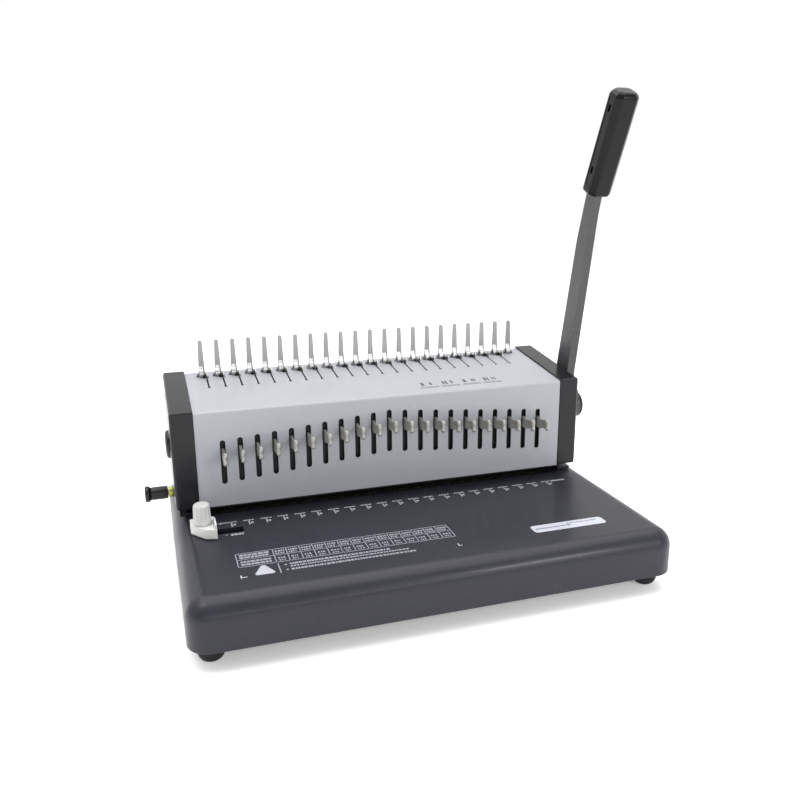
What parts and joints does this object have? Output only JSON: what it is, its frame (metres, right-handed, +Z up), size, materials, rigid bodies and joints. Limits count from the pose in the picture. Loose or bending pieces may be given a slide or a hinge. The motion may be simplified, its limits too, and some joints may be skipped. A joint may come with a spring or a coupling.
{
  "type": "comb binding machine",
  "caption": "Desktop machine that punches a row of slots in paper with a pull-down lever and opens plastic comb spines on its fingers.",
  "frame": {"origin": "centre of the footprint at table height", "axes": "+X to the right along the row of punches, +Y to the rear, +Z up"},
  "size_m": [0.4066, 0.2694, 0.3919],
  "materials": {
    "deck_paint": "fine dark grey texture",
    "silver_paint": "satin silver paint",
    "side_plastic": "fine matt grain",
    "lever_paint": "satin grey paint",
    "grip_plastic": "smooth, slightly glossy",
    "foot_rubber": "matt",
    "tool_steel": "ground",
    "nickel": "nickel plated",
    "zinc": "yellow zinc plated",
    "black_plastic": "moulded, semi-gloss",
    "white_plastic": "moulded, satin",
    "spring_steel": "drawn wire"
  },
  "bodies": {
    "base": {"base_shell": "deck_paint", "base_plate": "side_plastic", "foot_front_left": "foot_rubber", "foot_front_right": "foot_rubber", "foot_rear_left": "foot_rubber", "foot_rear_right": "foot_rubber", "die_block": "tool_steel", "punch_guide": "tool_steel", "side_frame_left": "side_plastic", "side_frame_right": "side_plastic", "top_cover": "silver_paint", "rear_cover": "silver_paint", "side_cover_left": "side_plastic", "side_cover_right": "side_plastic", "finger_comb": "tool_steel", "shaft_bush_left": "black_plastic", "shaft_bush_right": "black_plastic", "return_spring_left": "spring_steel", "return_spring_right": "spring_steel", "frame_bolt_1": "zinc", "frame_bolt_2": "zinc", "frame_bolt_3": "zinc", "frame_bolt_4": "zinc"},
    "lever": {"drive_shaft": "tool_steel", "pinion_left": "tool_steel", "pinion_right": "tool_steel", "lever_arm": "lever_paint", "lever_grip": "grip_plastic", "lever_hub_cap": "black_plastic", "shaft_cap_left": "black_plastic"},
    "punch_carriage": {"punch_carriage": "tool_steel"},
    "hook_plate": {"hook_plate": "nickel"},
    "margin_stop": {"margin_shaft": "tool_steel", "margin_collar": "zinc", "margin_knob": "black_plastic"},
    "side_guide": {"side_guide": "white_plastic", "side_guide_nut": "zinc"},
    "side_guide_knob": {"side_guide_knob": "white_plastic"},
    "chip_tray": {"chip_tray": "side_plastic"},
    "release_tab_01": {"release_tab_01": "nickel"},
    "release_tab_02": {"release_tab_02": "nickel"},
    "release_tab_03": {"release_tab_03": "nickel"},
    "release_tab_04": {"release_tab_04": "nickel"},
    "release_tab_05": {"release_tab_05": "nickel"},
    "release_tab_06": {"release_tab_06": "nickel"},
    "release_tab_07": {"release_tab_07": "nickel"},
    "release_tab_08": {"release_tab_08": "nickel"},
    "release_tab_09": {"release_tab_09": "nickel"},
    "release_tab_10": {"release_tab_10": "nickel"},
    "release_tab_11": {"release_tab_11": "nickel"},
    "release_tab_12": {"release_tab_12": "nickel"},
    "release_tab_13": {"release_tab_13": "nickel"},
    "release_tab_14": {"release_tab_14": "nickel"},
    "release_tab_15": {"release_tab_15": "nickel"},
    "release_tab_16": {"release_tab_16": "nickel"},
    "release_tab_17": {"release_tab_17": "nickel"},
    "release_tab_18": {"release_tab_18": "nickel"},
    "release_tab_19": {"release_tab_19": "nickel"},
    "release_tab_20": {"release_tab_20": "nickel"},
    "release_tab_21": {"release_tab_21": "nickel"}
  },
  "joints": [
    {"name": "lever_pull", "type": "hinge", "parent": "base", "child": "lever", "pos_m": [0.00425, 0.03735, 0.1108], "axis": [1, 0, 0], "range_deg": [0, 83], "stiffness_Nm_per_rad": 0.45, "springref_deg": -31.51},
    {"name": "punch_slide", "type": "slide", "parent": "base", "child": "punch_carriage", "axis": [0, 0, -1], "range_m": [0, 0.0153], "deforming": ["return_spring_left", "return_spring_right"]},
    {"name": "hook_slide", "type": "slide", "parent": "base", "child": "hook_plate", "axis": [0, -1, 0], "range_m": [0, 0.0153]},
    {"name": "margin_turn", "type": "hinge", "parent": "base", "child": "margin_stop", "pos_m": [0.00425, 0.04985, 0.0642], "axis": [1, 0, 0], "range_deg": [0, 120]},
    {"name": "guide_slide", "type": "slide", "parent": "base", "child": "side_guide", "axis": [1, 0, 0], "range_m": [0, 0.022]},
    {"name": "guide_knob_turn", "type": "hinge", "parent": "side_guide", "child": "side_guide_knob", "pos_m": [-0.16105, -0.01815, 0.0605], "axis": [0, 0, 1], "range_deg": [0, 180]},
    {"name": "tray_slide", "type": "slide", "parent": "base", "child": "chip_tray", "axis": [0, 1, 0], "range_m": [0, 0.11]},
    {"name": "release_tab_01_pull", "type": "slide", "parent": "punch_carriage", "child": "release_tab_01", "axis": [0, -1, 0], "range_m": [0, 0.005]},
    {"name": "release_tab_02_pull", "type": "slide", "parent": "punch_carriage", "child": "release_tab_02", "axis": [0, -1, 0], "range_m": [0, 0.005]},
    {"name": "release_tab_03_pull", "type": "slide", "parent": "punch_carriage", "child": "release_tab_03", "axis": [0, -1, 0], "range_m": [0, 0.005]},
    {"name": "release_tab_04_pull", "type": "slide", "parent": "punch_carriage", "child": "release_tab_04", "axis": [0, -1, 0], "range_m": [0, 0.005]},
    {"name": "release_tab_05_pull", "type": "slide", "parent": "punch_carriage", "child": "release_tab_05", "axis": [0, -1, 0], "range_m": [0, 0.005]},
    {"name": "release_tab_06_pull", "type": "slide", "parent": "punch_carriage", "child": "release_tab_06", "axis": [0, -1, 0], "range_m": [0, 0.005]},
    {"name": "release_tab_07_pull", "type": "slide", "parent": "punch_carriage", "child": "release_tab_07", "axis": [0, -1, 0], "range_m": [0, 0.005]},
    {"name": "release_tab_08_pull", "type": "slide", "parent": "punch_carriage", "child": "release_tab_08", "axis": [0, -1, 0], "range_m": [0, 0.005]},
    {"name": "release_tab_09_pull", "type": "slide", "parent": "punch_carriage", "child": "release_tab_09", "axis": [0, -1, 0], "range_m": [0, 0.005]},
    {"name": "release_tab_10_pull", "type": "slide", "parent": "punch_carriage", "child": "release_tab_10", "axis": [0, -1, 0], "range_m": [0, 0.005]},
    {"name": "release_tab_11_pull", "type": "slide", "parent": "punch_carriage", "child": "release_tab_11", "axis": [0, -1, 0], "range_m": [0, 0.005]},
    {"name": "release_tab_12_pull", "type": "slide", "parent": "punch_carriage", "child": "release_tab_12", "axis": [0, -1, 0], "range_m": [0, 0.005]},
    {"name": "release_tab_13_pull", "type": "slide", "parent": "punch_carriage", "child": "release_tab_13", "axis": [0, -1, 0], "range_m": [0, 0.005]},
    {"name": "release_tab_14_pull", "type": "slide", "parent": "punch_carriage", "child": "release_tab_14", "axis": [0, -1, 0], "range_m": [0, 0.005]},
    {"name": "release_tab_15_pull", "type": "slide", "parent": "punch_carriage", "child": "release_tab_15", "axis": [0, -1, 0], "range_m": [0, 0.005]},
    {"name": "release_tab_16_pull", "type": "slide", "parent": "punch_carriage", "child": "release_tab_16", "axis": [0, -1, 0], "range_m": [0, 0.005]},
    {"name": "release_tab_17_pull", "type": "slide", "parent": "punch_carriage", "child": "release_tab_17", "axis": [0, -1, 0], "range_m": [0, 0.005]},
    {"name": "release_tab_18_pull", "type": "slide", "parent": "punch_carriage", "child": "release_tab_18", "axis": [0, -1, 0], "range_m": [0, 0.005]},
    {"name": "release_tab_19_pull", "type": "slide", "parent": "punch_carriage", "child": "release_tab_19", "axis": [0, -1, 0], "range_m": [0, 0.005]},
    {"name": "release_tab_20_pull", "type": "slide", "parent": "punch_carriage", "child": "release_tab_20", "axis": [0, -1, 0], "range_m": [0, 0.005]},
    {"name": "release_tab_21_pull", "type": "slide", "parent": "punch_carriage", "child": "release_tab_21", "axis": [0, -1, 0], "range_m": [0, 0.005]}
  ],
  "couplings": [
    {"joint": "punch_slide", "follows": "lever_pull", "m_per_rad": 0.0105},
    {"joint": "hook_slide", "follows": "lever_pull", "m_per_rad": 0.0105}
  ]
}
